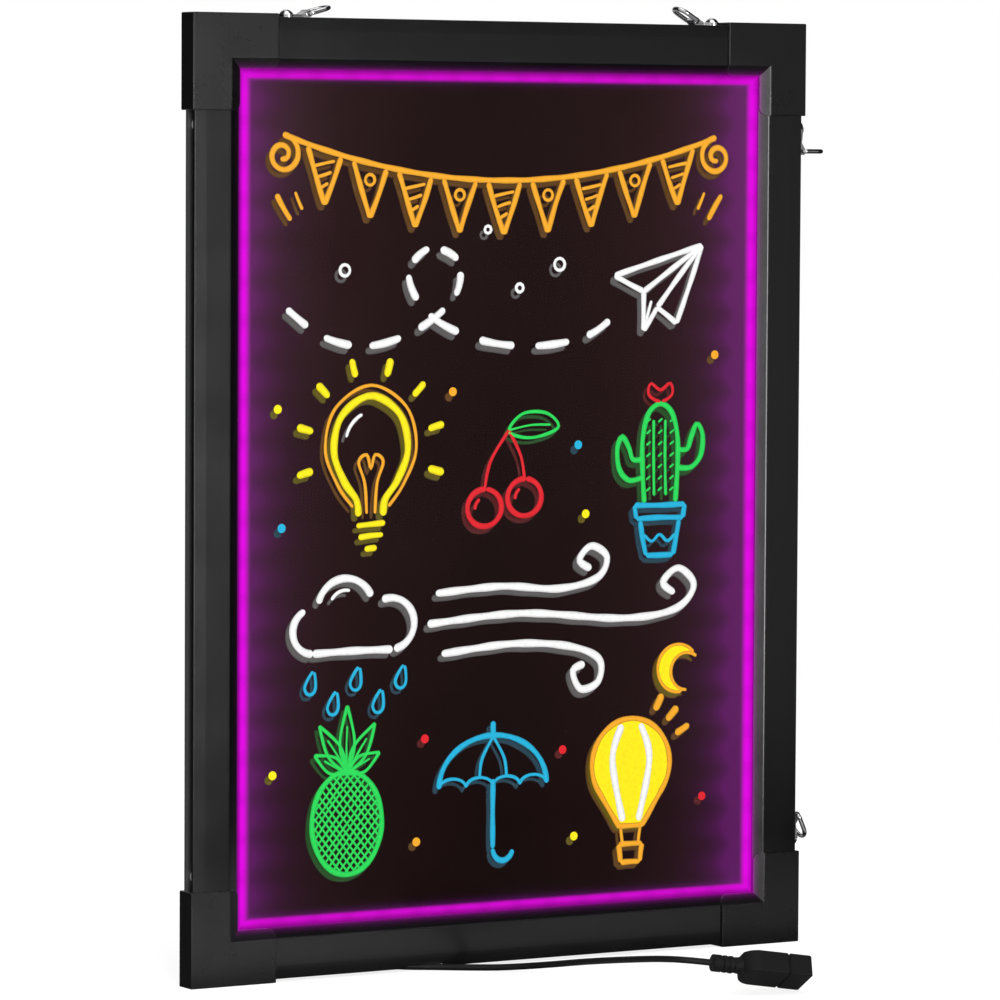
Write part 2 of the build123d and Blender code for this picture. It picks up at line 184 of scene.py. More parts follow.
def mixColour(tree, share, a, b, blend="MIX"):
    node = addNode(tree, "Mix", data_type="RGBA", blend_type=blend)
    for index, value in ((0, share), (6, a), (7, b)):
        setInput(node, index, value)
    return node.outputs[2]


def dim(tree, level, colour):
    return mixColour(tree, level, black, colour)


def betweenShades(tree, share, colour, low, high):
    # from one multiple of a colour to another
    return mixColour(tree, share, tuple(c * low for c in colour), tuple(c * high for c in colour))


def noise(tree, vector, scale, detail=2.0, roughness=0.5):
    inputs = {"Vector": vector, "Scale": scale, "Detail": detail, "Roughness": roughness}
    return addNode(tree, "TexNoise", inputs).outputs["Fac"]


def objectPlace(tree):
    return addNode(tree, "TexCoord").outputs["Object"]


def placeParts(tree):
    return addNode(tree, "SeparateXYZ", {0: objectPlace(tree)}).outputs


def fallOff(tree, distance, reach):
    reaches = doMath(tree, "DIVIDE", doMath(tree, "MAXIMUM", distance, 0.0), reach)
    return doMath(tree, "EXPONENT", times(tree, reaches, -1.0))


def newGroup(name, inputs, outputs, outputKind="Float"):
    # the kind of an input follows from its value
    tree = bpy.data.node_groups.new(name, "ShaderNodeTree")
    for label, value in inputs.items():
        kind = "Float" if isinstance(value, float) else "Vector" if len(value) == 3 else "Color"
        socket = tree.interface.new_socket(label, in_out="INPUT", socket_type="NodeSocket" + kind)
        socket.default_value = value
    for label in outputs:
        tree.interface.new_socket(label, in_out="OUTPUT", socket_type="NodeSocket" + outputKind)
    entry = tree.nodes.new("NodeGroupInput")
    ending = tree.nodes.new("NodeGroupOutput")
    return tree, entry.outputs, ending


def useGroup(tree, group, **inputs):
    node = tree.nodes.new("ShaderNodeGroup")
    node.node_tree = group
    for name, value in inputs.items():
        setInput(node, name, value)
    return node.outputs


def newMaterial(name, **sockets):
    material = bpy.data.materials.new(name)
    material.use_nodes = True
    tree = material.node_tree
    shader = tree.nodes["Principled BSDF"]
    for label, value in sockets.items():
        setInput(shader, label.replace("_", " "), value)
    return material, tree, shader


def bump(tree, shader, height, distance):
    setInput(shader, "Normal", addNode(tree, "Bump", {"Height": height, "Distance": distance}).outputs[0])


# Shared effects

def buildGrain():
    # fine moulded or sprayed surface: two sizes of grain, and slow patches in the gloss
    tree, given, result = newGroup("fineGrain", {"Scale": 2600.0, "Patch": 60.0}, ("Height", "Patches"))
    where = objectPlace(tree)
    fine = noise(tree, where, given["Scale"], 3.0, 0.6)
    coarse = noise(tree, where, times(tree, given["Scale"], 0.37), 1.0)
    setInput(result, "Height", doMath(tree, "ADD", fine, times(tree, coarse, 0.6)))
    setInput(result, "Patches", noise(tree, where, given["Patch"], 4.0, 0.6))
    return tree


def buildDrawnLines():
    # long thin lines left by an extrusion die or a brush
    tree, given, result = newGroup("drawnLines", {"Stretch": (4.0, 1500.0, 1500.0)}, ("Lines", "Broad"))
    spread = doVector(tree, "MULTIPLY", objectPlace(tree), given["Stretch"])[0]
    setInput(result, "Lines", noise(tree, spread, 1.0, 3.0, 0.7))
    setInput(result, "Broad", noise(tree, spread, 0.13, 2.0))
    return tree


def buildEdgeWearAndHighlight():
    # mask that is 1 on sharp outer edges, broken up a little; it carries edge wear and a painted highlight
    # along the edges
    tree, given, result = newGroup("edgeWearAndHighlight", {"Width": 0.0004, "Gain": 3.0}, ("Mask",))
    rounded = addNode(tree, "Bevel", {"Radius": given["Width"]}, samples=4).outputs[0]
    flat = addNode(tree, "NewGeometry").outputs["Normal"]
    turned = doVector(tree, "DOT_PRODUCT", rounded, flat)["Value"]
    raw = times(tree, doMath(tree, "SUBTRACT", 1.0, turned), given["Gain"], True)
    broken = remap(tree, noise(tree, objectPlace(tree), 420.0, 3.0, 0.7), 0.3, 0.75, 0.35, 1.0)
    setInput(result, "Mask", times(tree, raw, broken, True))
    return tree


def buildDust():
    # sparse pale specks
    tree, given, result = newGroup("fineDust", {"Scale": 700.0, "Amount": 0.08}, ("Mask",))
    where = objectPlace(tree)
    cells = addNode(tree, "TexVoronoi", {"Vector": where, "Scale": given["Scale"]})
    size = remap(tree, noise(tree, where, 90.0, 3.0, 0.7), 0.45, 0.8, 0.0, given["Amount"])
    setInput(result, "Mask", doMath(tree, "LESS_THAN", cells.outputs["Distance"], size))
    return tree


def buildOpening():
    # millimetres from the edges of the panel opening, and the row of light chips behind them
    tree, given, result = newGroup(
        "openingDistances", {"Half X": board["halfX"], "Half Z": board["halfZ"]},
        ("Side", "End", "Side Spots", "End Spots", "Height", "Rightward"))
    parts = placeParts(tree)

    def away(axis, centre, half):
        local = doMath(tree, "SUBTRACT", times(tree, parts[axis], 1000.0), centre)
        return local, doMath(tree, "SUBTRACT", half, doMath(tree, "ABSOLUTE", local))

    def spots(local):
        turns = times(tree, local, 2 * math.pi / board["chipPitch"])
        return remap(tree, doMath(tree, "COSINE", turns), -1.0, 1.0)

    acrossBoard, side = away(0, board["centreX"], given["Half X"])
    upBoard, end = away(2, board["centreZ"], given["Half Z"])
    setInput(result, "Side", side)
    setInput(result, "End", end)
    setInput(result, "Rightward", doMath(tree, "SUBTRACT", acrossBoard, given["Half X"]))
    setInput(result, "Side Spots", spots(upBoard))
    setInput(result, "End Spots", spots(acrossBoard))
    setInput(result, "Height", remap(tree, upBoard, -board["halfZ"], board["halfZ"]))
    return tree


def edgeLevel(tree, opening, levels):
    # one of three levels, for the left, the right and the two ends of the opening
    left, right, ends = levels
    sides = remap(tree, opening["Rightward"], -board["halfX"], 0.0, left, right)
    nearEnd = doMath(tree, "LESS_THAN", opening["End"], opening["Side"])
    return remap(tree, nearEnd, 0.0, 1.0, sides, ends)


def outsideOpening(tree, opening):
    return times(tree, doMath(tree, "MINIMUM", opening["Side"], opening["End"]), -1.0)


def buildSpill():
    # light of the bands on what stands round the opening, in front of a depth in metres
    tree, given, result = newGroup(
        "bandSpill", {"Left": 0.0, "Right": 0.0, "Ends": 0.0, "Reach": 1.0, "Depth": -0.0005},
        ("Light",), "Color")
    opening = useGroup(tree, openingGroup)
    share = fallOff(tree, outsideOpening(tree, opening), given["Reach"])
    before = doMath(tree, "LESS_THAN", placeParts(tree)[1], given["Depth"])
    edge = edgeLevel(tree, opening, (given["Left"], given["Right"], given["Ends"]))
    level = times(tree, times(tree, share, before), edge)
    setInput(result, "Light", dim(tree, level, (1.0, 0.0, 1.0)))
    return tree


grainGroup = buildGrain()
linesGroup = buildDrawnLines()
edgeWearAndHighlightGroup = buildEdgeWearAndHighlight()
dustGroup = buildDust()
openingGroup = buildOpening()
spillGroup = buildSpill()
print("shared effects built")


# Finishes of the frame

dustOnTop = {"share": 0.12, "colour": (0.25, 0.25, 0.25)}
frameSpill = {"Left": 0.025, "Right": 0.2, "Ends": 0.18, "Reach": 0.8}  # levels, and millimetres
railFinish = {
    "colour": (0.0022, 0.0022, 0.0023),
    "shades": (0.86, 1.16),  # how far the colour varies
    # the pale edge colour and its share paint wear together with a highlight along the rails' edges
    "wornAndHighlitEdgeColour": (0.03, 0.03, 0.031),
    "wearAndHighlightShare": 0.4,
    "wornAndHighlitEdges": {"Width": 0.0005, "Gain": 2.5},
    "dust": {"Scale": 600.0, "Amount": 0.05},
    "grain": {"Scale": 3200.0, "Patch": 35.0},
    # painted reflection: the channel floor is coloured paler than the coat, for the bright surroundings it
    # mirrors
    "channelSheenColour": (0.06, 0.06, 0.062),
    "channelFrom": 18.4,  # outside the opening
    "channelBehind": -0.00268,  # depth in metres
    "roughness": (0.17, 0.23),
    "specular": 0.5,
    "lineDepth": 0.000012,
    "stretch": {"railCoatLying": (5.0, 1700.0, 1700.0), "railCoatStanding": (1700.0, 1700.0, 5.0)},
}


def catchSpill(tree, shader, v):
    setInput(shader, "Emission Color", useGroup(tree, spillGroup, **v)["Light"])
    setInput(shader, "Emission Strength", 1.0)


def wearHighlightAndDust(tree, colour, v):
    # pale edges, partly wear and partly a painted highlight along them, and a few specks of dust
    wornAndHighlitEdges = times(tree, useGroup(tree, edgeWearAndHighlightGroup, **v["wornAndHighlitEdges"])["Mask"], v["wearAndHighlightShare"])
    colour = mixColour(tree, wornAndHighlitEdges, colour, v["wornAndHighlitEdgeColour"])
    dust = times(tree, useGroup(tree, dustGroup, **v["dust"])["Mask"], dustOnTop["share"])
    return mixColour(tree, dust, colour, dustOnTop["colour"])


def coatRail(name, v):
    material, tree, shader = newMaterial(name, Specular_IOR_Level=v["specular"])
    catchSpill(tree, shader, frameSpill)
    lines = useGroup(tree, linesGroup, Stretch=v["stretch"][name])
    grain = useGroup(tree, grainGroup, **v["grain"])
    colour = betweenShades(tree, ofNoise(tree, lines["Broad"]), v["colour"], *v["shades"])
    # painted reflection: the channel floor gets a paler colour
    outside = outsideOpening(tree, useGroup(tree, openingGroup))
    channel = doMath(tree, "GREATER_THAN", outside, v["channelFrom"])
    behind = doMath(tree, "GREATER_THAN", placeParts(tree)[1], v["channelBehind"])
    colour = mixColour(tree, times(tree, channel, behind), colour, v["channelSheenColour"])
    setInput(shader, "Base Color", wearHighlightAndDust(tree, colour, v))
    setInput(shader, "Roughness", ofNoise(tree, grain["Patches"], *v["roughness"]))
    height = doMath(tree, "ADD", lines["Lines"], times(tree, grain["Height"], 0.5))
    bump(tree, shader, height, v["lineDepth"])
    return material


plastic = {  # what the caps, the plug and the cord share
    "shades": (0.88, 1.12),
    # share of the pale edge colour: wear together with a painted edge highlight
    "wearAndHighlightShare": 0.5,
    "wornAndHighlitEdges": {"Width": 0.0004, "Gain": 2.5},
    "dust": {"Scale": 650.0, "Amount": 0.05},
}
capFinish = {
    **plastic,
    "colour": (0.003, 0.003, 0.0031),
    # pale edge colour of the caps: wear together with a painted edge highlight
    "wornAndHighlitEdgeColour": (0.08, 0.08, 0.082),
    "roughness": (0.26, 0.3),
    "specular": 0.42,
    "grain": {"Scale": 2600.0, "Patch": 45.0},
    "grainDepth": 0.000012,
    "spill": frameSpill,
}


def roughen(tree, shader, v):
    # grain and uneven gloss; puts out the patches
    grain = useGroup(tree, grainGroup, **v["grain"])
    setInput(shader, "Roughness", ofNoise(tree, grain["Patches"], *v["roughness"]))
    bump(tree, shader, grain["Height"], v["grainDepth"])
    return grain["Patches"]


def mouldPlastic(name, v):
    material, tree, shader = newMaterial(name, Specular_IOR_Level=v["specular"])
    if "spill" in v:
        catchSpill(tree, shader, v["spill"])
    patches = roughen(tree, shader, v)
    colour = betweenShades(tree, ofNoise(tree, patches), v["colour"], *v["shades"])
    setInput(shader, "Base Color", wearHighlightAndDust(tree, colour, v))
    return material


steelFinish = {
    "keySteel": {"colour": (0.42, 0.42, 0.43), "roughness": (0.32, 0.5), "stretch": (900.0, 900.0, 60.0)},
    "screwSteel": {"colour": (0.8, 0.8, 0.82), "roughness": (0.18, 0.32), "stretch": (500.0, 500.0, 500.0),
                   "metallic": 0.3},
    "shellSteel": {"colour": (0.66, 0.66, 0.67), "roughness": (0.14, 0.28), "stretch": (400.0, 900.0, 900.0)},
    "contactGold": {"colour": (0.83, 0.58, 0.2), "roughness": (0.16, 0.3),
                    "stretch": (300.0, 1200.0, 1200.0)},
    "leadCopper": {"colour": (0.72, 0.36, 0.17), "roughness": (0.2, 0.34), "stretch": (900.0, 900.0, 80.0)},
}


def brushMetal(name, v):
    material, tree, shader = newMaterial(name, Metallic=v.get("metallic", 1.0))
    lines = useGroup(tree, linesGroup, Stretch=v["stretch"])
    setInput(shader, "Base Color", betweenShades(tree, lines["Broad"], v["colour"], 0.8, 1.0))
    setInput(shader, "Roughness", ofNoise(tree, lines["Lines"], *v["roughness"]))
    bump(tree, shader, lines["Lines"], 0.000008)
    return material


chromeFinish = {
    "colour": (0.66, 0.66, 0.67),
    "tarnish": 0.78,  # share of the colour in its dull patches
    "roughness": (0.07, 0.2),
    "grain": {"Scale": 900.0, "Patch": 180.0},
    "stretch": (700.0, 700.0, 700.0),
    "lineDepth": 0.000006,
    # a thin dark line of painted shade in the crease of each folded strap
    "foldShadeWidth": 0.00005,
    "foldShadeColour": (0.02, 0.02, 0.02),
    "folds": {"chromeTop": (2, 0.4056), "chromeSide": (0, 0.14571), "chromeRing": None},  # axis and place of each fold's line of painted shade
}


def plateChrome(name, v):
    material, tree, shader = newMaterial(name, Metallic=1.0)
    lines = useGroup(tree, linesGroup, Stretch=v["stretch"])
    patches = useGroup(tree, grainGroup, **v["grain"])["Patches"]
    dull = remap(tree, patches, 0.35, 0.75)
    colour = betweenShades(tree, dull, v["colour"], 1.0, v["tarnish"])
    fold = v["folds"][name]
    if fold:
        axis, middle = fold
        # painted shade in the crease of the folded strap
        off = doMath(tree, "ABSOLUTE", doMath(tree, "SUBTRACT", placeParts(tree)[axis], middle))
        foldShade = remap(tree, off, v["foldShadeWidth"], 2 * v["foldShadeWidth"], 1.0, 0.0)
        colour = mixColour(tree, foldShade, colour, v["foldShadeColour"])
    setInput(shader, "Base Color", colour)
    setInput(shader, "Roughness", remap(tree, patches, 0.3, 0.75, *v["roughness"]))
    bump(tree, shader, lines["Lines"], v["lineDepth"])
    return material


# Panel, backing sheet and the lit border

glowFinish = {
    "centre": (0.0137, 0.0062, 0.006),
    "warm": (0.036, 0.014, 0.0177),  # wide haze from the sides
    "warmReach": 38.0,
    "violet": (0.078, 0.001, 0.1),  # close to the side bands
    "violetReach": 8.0,
    "violetLevels": (1.3, 1.75),  # left and right
    "spotLevels": (0.72, 1.25),  # between two chips and at a chip
    "endReach": 0.9,
    "endLevel": 0.4,
    "heightLevels": (0.62, 1.08),  # at the bottom and at the top
}


def buildGlow(v):
    # haze that the bands throw on the backing sheet
    tree, given, result = newGroup(
        "edgeGlow", {name: (*v[name.lower()], 1) for name in ("Centre", "Warm", "Violet")},
        ("Colour",), "Color")
    opening = useGroup(tree, openingGroup)
    side = doMath(tree, "SUBTRACT", opening["Side"], board["sideBand"])
    end = doMath(tree, "SUBTRACT", opening["End"], board["endBand"])
    colour = mixColour(tree, fallOff(tree, side, v["warmReach"]), given["Centre"], given["Warm"], "ADD")
    colour = dim(tree, remap(tree, opening["Height"], 0.0, 1.0, *v["heightLevels"]), colour)
    spots = remap(tree, opening["Side Spots"], 0.0, 1.0, *v["spotLevels"])
    near = times(tree, fallOff(tree, side, v["violetReach"]), spots)
    across = remap(tree, opening["Rightward"], -2 * board["halfX"], 0.0, *v["violetLevels"])
    colour = mixColour(tree, times(tree, near, across), colour, given["Violet"], "ADD")
    nearEnd = times(tree, fallOff(tree, end, v["endReach"]), v["endLevel"])
    setInput(result, "Colour", mixColour(tree, nearEnd, colour, given["Violet"], "ADD"))
    return tree


glowGroup = buildGlow(glowFinish)
sheetFinish = {
    "lining": ((0.022, 0.022, 0.023), (0.034, 0.034, 0.036)),
    "litBase": (0.01, 0.01, 0.01),
    "litDepths": (0.00255, 0.0026),  # metres; behind them the sheet isn't lit
    "mottle": (0.86, 1.14),
    "roughness": (0.5, 0.7),
    "specular": 0.04,
    "grain": {"Scale": 1500.0, "Patch": 25.0},
    "grainDepth": 0.00003,
}


def finishBackSheet(v):
    material, tree, shader = newMaterial("backSheet", Specular_IOR_Level=v["specular"], Emission_Strength=1.0)
    patches = roughen(tree, shader, v)
    lit = remap(tree, placeParts(tree)[1], *v["litDepths"], 1.0, 0.0)
    mottled = remap(tree, patches, 0.25, 0.75, *v["mottle"])
    glow = useGroup(tree, glowGroup)["Colour"]
    setInput(shader, "Emission Color", dim(tree, times(tree, mottled, lit), glow))
    lining = mixColour(tree, patches, *v["lining"])
    setInput(shader, "Base Color", mixColour(tree, lit, lining, v["litBase"]))
    return material


panelFinish = {
    "colour": (0.985, 0.985, 0.99),
    "dustColour": (0.6, 0.6, 0.6),
    "ior": 1.12,
    "wipedRoughness": 0.035,
    "dustRoughness": 0.3,
    "grain": {"Scale": 500.0, "Patch": 12.0},
    "dust": {"Scale": 420.0, "Amount": 0.04},
}


def finishPanel(v):
    material, tree, shader = newMaterial("clearPanel", IOR=v["ior"], Transmission_Weight=1.0)
    dust = useGroup(tree, dustGroup, **v["dust"])["Mask"]
    setInput(shader, "Base Color", mixColour(tree, dust, v["colour"], v["dustColour"]))
    patches = useGroup(tree, grainGroup, **v["grain"])["Patches"]
    wiped = remap(tree, patches, 0.35, 0.7, 0.0, v["wipedRoughness"])
    dusty = times(tree, dust, v["dustRoughness"])
    setInput(shader, "Roughness", doMath(tree, "ADD", wiped, dusty))
    return material


bandFinish = {
    "sideLight": (0.77, 0.002, 0.775),
    "endLight": (0.62, 0.0022, 0.6),
    "cornerBlend": (4.0, 13.0),
    "spotLevels": (0.9, 1.07),
    "frostLevels": (0.96, 1.04),
    "sideFade": 3.6,  # how far in from its inner edge a side band starts to fade
    "endFade": 1.8,
    # painted shade of the rails' lip: the band's light dims within this many millimetres of its outer edge
    "lipShadeFade": 2.4,
    "lipShadeLevels": (0.05, 0.6, 0.35),  # left, right, ends: painted shade of the rails' lip on the band's outer edge
    "base": ((0.01, 0.0005, 0.01), (0.02, 0.001, 0.02)),
    "roughness": 0.6,
    "specular": 0.02,
}


def finishBand(v):
    material, tree, shader = newMaterial("litBand", Roughness=v["roughness"], Emission_Strength=1.0)
    setInput(shader, "Specular IOR Level", v["specular"])
    opening = useGroup(tree, openingGroup)
    sideness = remap(tree, opening["Side"], *v["cornerBlend"], 1.0, 0.0, True)
    light = mixColour(tree, sideness, v["endLight"], v["sideLight"])
    spots = mixColour(tree, sideness, opening["End Spots"], opening["Side Spots"])
    spots = remap(tree, spots, 0.0, 1.0, *v["spotLevels"])
    frost = noise(tree, objectPlace(tree), 900.0, 3.0, 0.6)
    light = dim(tree, times(tree, spots, ofNoise(tree, frost, *v["frostLevels"])), light)

    def past(distance, edge, fade):
        return remap(tree, distance, edge - fade, edge, 0.0, 1.0, True)

    pastSide = past(opening["Side"], board["sideBand"], v["sideFade"])
    pastEnd = past(opening["End"], board["endBand"], v["endFade"])
    glow = useGroup(tree, glowGroup)["Colour"]
    light = mixColour(tree, doMath(tree, "MINIMUM", pastSide, pastEnd), light, glow)
    # painted shade of the rails' lip: the light dims towards the band's outer edge
    inside = doMath(tree, "MINIMUM", opening["Side"], opening["End"])
    outer = remap(tree, inside, 0.0, v["lipShadeFade"], edgeLevel(tree, opening, v["lipShadeLevels"]), 1.0)
    setInput(shader, "Emission Color", dim(tree, outer, light))
    setInput(shader, "Base Color", mixColour(tree, frost, *v["base"]))
    return material


# Inside pieces, plug and cord

stripFinish = {
    "board": (0.82, 0.82, 0.8),
    "copper": (0.7, 0.38, 0.18),
    "chip": (0.9, 0.86, 0.55),
    "roughness": 0.45,
}


def finishStrip(v):
    material, tree, shader = newMaterial("stripBoard", Roughness=v["roughness"])
    where = objectPlace(tree)
    grain = noise(tree, where, 700.0, 3.0)
    bricks = {"Vector": where, "Scale": 220.0, "Mortar Size": 0.03}
    pads = addNode(tree, "TexBrick", bricks).outputs["Fac"]
    colour = mixColour(tree, times(tree, pads, 0.5), v["board"], v["copper"])
    setInput(shader, "Base Color", mixColour(tree, remap(tree, grain, 0.45, 0.6), colour, v["chip"]))
    bump(tree, shader, grain, 0.00002)
    return material


tongueFinish = {
    "colours": ((0.78, 0.78, 0.76), (0.88, 0.88, 0.86)),
    "roughness": (0.28, 0.42),
    "grain": {"Scale": 1800.0, "Patch": 120.0},
    "grainDepth": 0.00001,
}


def finishTongue(v):
    material, tree, shader = newMaterial("tonguePlastic")
    setInput(shader, "Base Color", mixColour(tree, roughen(tree, shader, v), *v["colours"]))
    return material


plugFinish = {
    **plastic,
    "colour": (0.0095, 0.0095, 0.0097),
    # pale edge colour of the plug: wear together with a painted edge highlight
    "wornAndHighlitEdgeColour": (0.03, 0.03, 0.031),
    "roughness": (0.42, 0.55),
    "specular": 0.05,
    "grain": {"Scale": 2200.0, "Patch": 45.0},
    "grainDepth": 0.000018,
}
cordFinish = {
    **plastic,
    "colour": (0.009, 0.009, 0.0092),
    # pale edge colour of the cord: wear together with a painted edge highlight
    "wornAndHighlitEdgeColour": (0.02, 0.02, 0.021),
    "wearAndHighlightShare": 0.2,
    "roughness": (0.4, 0.55),
    "specular": 0.1,
    "grain": {"Scale": 1500.0, "Patch": 45.0},
    "grainDepth": 0.00001,
}

materials = {name: coatRail(name, railFinish) for name in railFinish["stretch"]}
plastics = {"capPlastic": capFinish, "plugPlastic": plugFinish, "cordJacket": cordFinish}
materials.update({name: mouldPlastic(name, v) for name, v in plastics.items()})
materials.update({name: brushMetal(name, v) for name, v in steelFinish.items()})
materials.update({name: plateChrome(name, chromeFinish) for name in chromeFinish["folds"]})
materials.update({
    "backSheet": finishBackSheet(sheetFinish),
    "clearPanel": finishPanel(panelFinish),
    "litBand": finishBand(bandFinish),
    "stripBoard": finishStrip(stripFinish),
    "tonguePlastic": finishTongue(tongueFinish),
})

finishOf = {  # first match wins
    "rail_bottom": "railCoatLying", "rail_top": "railCoatLying", "rail_": "railCoatStanding",
    "corner_cap": "capPlastic", "corner_key": "keySteel", "key_screws": "screwSteel",
    "writing_panel": "clearPanel", "back_sheet": "backSheet", "light_band": "litBand",
    "led_strip": "stripBoard", "strip_links": "leadCopper", "inner_leads": "leadCopper",
    "cable_gland": "plugPlastic", "power_cord": "cordJacket", "plug_": "plugPlastic",
    "usb_shell": "shellSteel", "usb_tongue": "tonguePlastic", "usb_contacts": "contactGold",
    "hanger_strap_top": "chromeTop", "hanger_strap": "chromeSide", "hanger_": "chromeRing",
}


def dress(piece, material):
    piece.data.materials.clear()
    piece.data.materials.append(material)


for name, piece in nodes.items():
    key = next(k for k in finishOf if name.startswith(k))
    dress(piece, materials[finishOf[key]])
dress(leadCord, materials["cordJacket"])
print("finishes set on", len(nodes), "nodes")


# Doodles on the panel, in millimetres from the middle of the opening

drawing = {
    "pen": 2.5,  # stroke widths
    "fine": 1.5,
    "hair": 1.0,
    "brush": 3.3,
    "spacing": 1.3,  # between the sections of a stroke
    "swell": 0.09,  # share by which a width wanders
    "swellRate": 0.35,  # radians per millimetre
    "wobble": 0.45,  # bow of a straight stroke
    "lift": 0.02,  # air under the ink
    "ridge": 0.08,
    "layer": 0.1,  # from one colour to the one drawn over it
    "echoDrop": 2.4,  # the painted reflection of the ink, a dim glowing double on the backing sheet, lies this much lower
    "echoLift": 0.03,
    "echoRidge": 0.04,
    "echoLevel": 0.09,
    "echoBody": 0.01,
    "inkLevel": 0.72,  # share of its colour that an ink gives off
    "inkBody": 0.3,
    "roughness": 0.55,
    "specular": 0.2,
    "inks": {  # screen colours, 0 to 255
        "Orange": (250, 172, 38), "White": (250, 250, 250), "Yellow": (255, 236, 10),
        "Green": (38, 216, 88), "Cyan": (30, 178, 220), "Red": (222, 30, 42),
    },
}
strokes = {ink: [] for ink in drawing["inks"]}
fills = {ink: [] for ink in drawing["inks"]}
wander = random.Random(7)


def stroke(ink, points, width="pen", closed=False, layer=0):
    strokes[ink].append((points, drawing[width], closed, layer))


def fill(ink, points, layer=0):
    fills[ink].append((points, layer))


def smooth(points, closed=False, steps=8):
    # curve through given points
    if closed:
        ring = points[-1:] + points + points[:2]
    else:
        ring = points[:1] + points + points[-1:]
    line = []
    for a, b, c, d in zip(ring, ring[1:], ring[2:], ring[3:]):
        for i in range(steps):
            t = i / steps
            weights = (-t + 2 * t**2 - t**3, 2 - 5 * t**2 + 3 * t**3, t + 4 * t**2 - 3 * t**3, t**3 - t**2)
            line.append(tuple(sum(w * p[k] for w, p in zip(weights, (a, b, c, d))) / 2 for k in (0, 1)))
    return line if closed else line + [points[-1]]


def heading(degrees):
    return math.cos(math.radians(degrees)), math.sin(math.radians(degrees))


def bend(ink, points, width="pen", closed=False):
    stroke(ink, smooth(points, closed), width)


def arc(u, v, across, up, start=0.0, end=360.0, lean=0.0):
    # elliptical arc, its angles and its lean in degrees
    steps = max(6, int(abs(end - start) / 9))
    cosine, sine = heading(lean)
    line = []
    for i in range(steps + 1):
        x, y = heading(start + (end - start) * i / steps)
        x, y = across * x, up * y
        line.append((u + x * cosine - y * sine, v + x * sine + y * cosine))
    return line


def curl(u, v, radius, turns, start):
    steps = int(abs(turns) * 28)
    line = []
    for i in range(steps + 1):
        share = i / steps
        angle = math.radians(start) + 2 * math.pi * turns * share
        reach = radius * (1 - 0.85 * share)
        line.append((u + reach * math.cos(angle), v + reach * math.sin(angle)))
    return line


def straight(ink, corners, width="pen"):
    # one slightly bowed stroke from each corner to the next
    for (ua, va), (ub, vb) in zip(corners, corners[1:]):
        length = math.hypot(ub - ua, vb - va)
        bow = wander.uniform(-1, 1) * drawing["wobble"] * min(1, length / 20)
        middle = ((ua + ub) / 2 - (vb - va) / length * bow, (va + vb) / 2 + (ub - ua) / length * bow)
        bend(ink, [(ua, va), middle, (ub, vb)], width)


def hatch(ink, u, v, across, up, angle, offsets):
    # parallel chords of an ellipse, at the given shares of its radius
    along = heading(angle)
    for offset in offsets:
        half = math.sqrt(1 - offset**2)
        ends = [(along[0] * h - along[1] * offset, along[1] * h + along[0] * offset) for h in (-half, half)]
        straight(ink, [(u + across * x, v + up * y) for x, y in ends], "hair")


def drawBunting():
    def hang(u):
        return 134 + 19 * (u / 108) ** 2

    stroke("Orange", [(u, hang(u)) for u in range(-108, 109, 6)])
    for index, middle in enumerate(range(-88, 89, 22)):
        left, right, tip = middle - 8, middle + 8, (middle, hang(middle) - 23)
        straight("Orange", [(left, hang(left) - 1), tip, (right, hang(right) - 1)])
        if index % 2:
            stroke("Orange", arc(middle, hang(middle) - 7, 2.3, 2.3), "fine", True)
        else:
            for share in (0.25, 0.45, 0.65):
                inner = 8 * (1 - share) - 1
                height = hang(middle) - 23 * share
                straight("Orange", [(middle - inner, height - 1), (middle + inner, height + 1)], "fine")
    for side in (-1, 1):
        stroke("Orange", [(side * u, v) for u, v in curl(108, 144.5, 8.5, 1.6, 90)])
        straight("Orange", [(side * 111, 128), (side * 104, 117)])
        straight("Orange", [(side * 102, 129), (side * 98.5, 121.5)], "fine")


def drawPlane():
    nose, wing, fold, keel, notch, tip = (101, 106), (56, 93), (71, 86), (71, 69), (78, 79), (88, 72)
    straight("White", [nose, wing, fold, nose])
    straight("White", [fold, keel, notch, nose])
    straight("White", [notch, tip, nose])
    straight("White", [keel, (75, 82)], "fine")
    trail = smooth([(-106, 80), (-88, 68), (-66, 64), (-42, 71), (-24, 85), (-23, 100), (-37, 105), (-47, 94),
                    (-37, 77), (-12, 66), (16, 63), (42, 67), (58, 77)])
    for i in range(0, len(trail) - 6, 8):
        stroke("White", trail[i:i + 6], "brush")
    for u, v, size in ((-78, 96, 2.4), (8, 88, 1.8), (28, 98, 2.6), (-8, 113, 1.6)):
        stroke("White", arc(u, v, size, size), "fine", True)


def drawBulb():
    glass = [(-71, -8), (-72, -1), (-78, 7), (-83, 20), (-79, 35), (-65, 43), (-51, 35), (-47, 20), (-52, 7),
             (-58, -1), (-59, -8)]
    bend("Yellow", glass, "brush")
    bend("Orange", [(-65 + (u + 65) * 1.23, 17 + (v - 17) * 1.17) for u, v in glass[1:-1]], "fine")
    straight("Yellow", [(-72, -12), (-58, -11)])
    straight("Yellow", [(-71, -17), (-59, -16)])
    straight("Yellow", [(-68, -22), (-62, -21.5)])
    filament = [(-67, -7), (-68, 6), (-71, 15), (-67, 18), (-65, 12), (-63, 18), (-59, 15), (-62, 6),
                (-63, -7)]
    bend("Orange", filament, "fine")
    stroke("White", arc(-65, 22, 12.5, 14, 110, 165), "fine")
    for angle in range(-15, 196, 30):
        ray = heading(angle)
        straight("Yellow", [(-65 + ray[0] * r, 20 + ray[1] * (r + 3)) for r in (29, 37)], "brush")


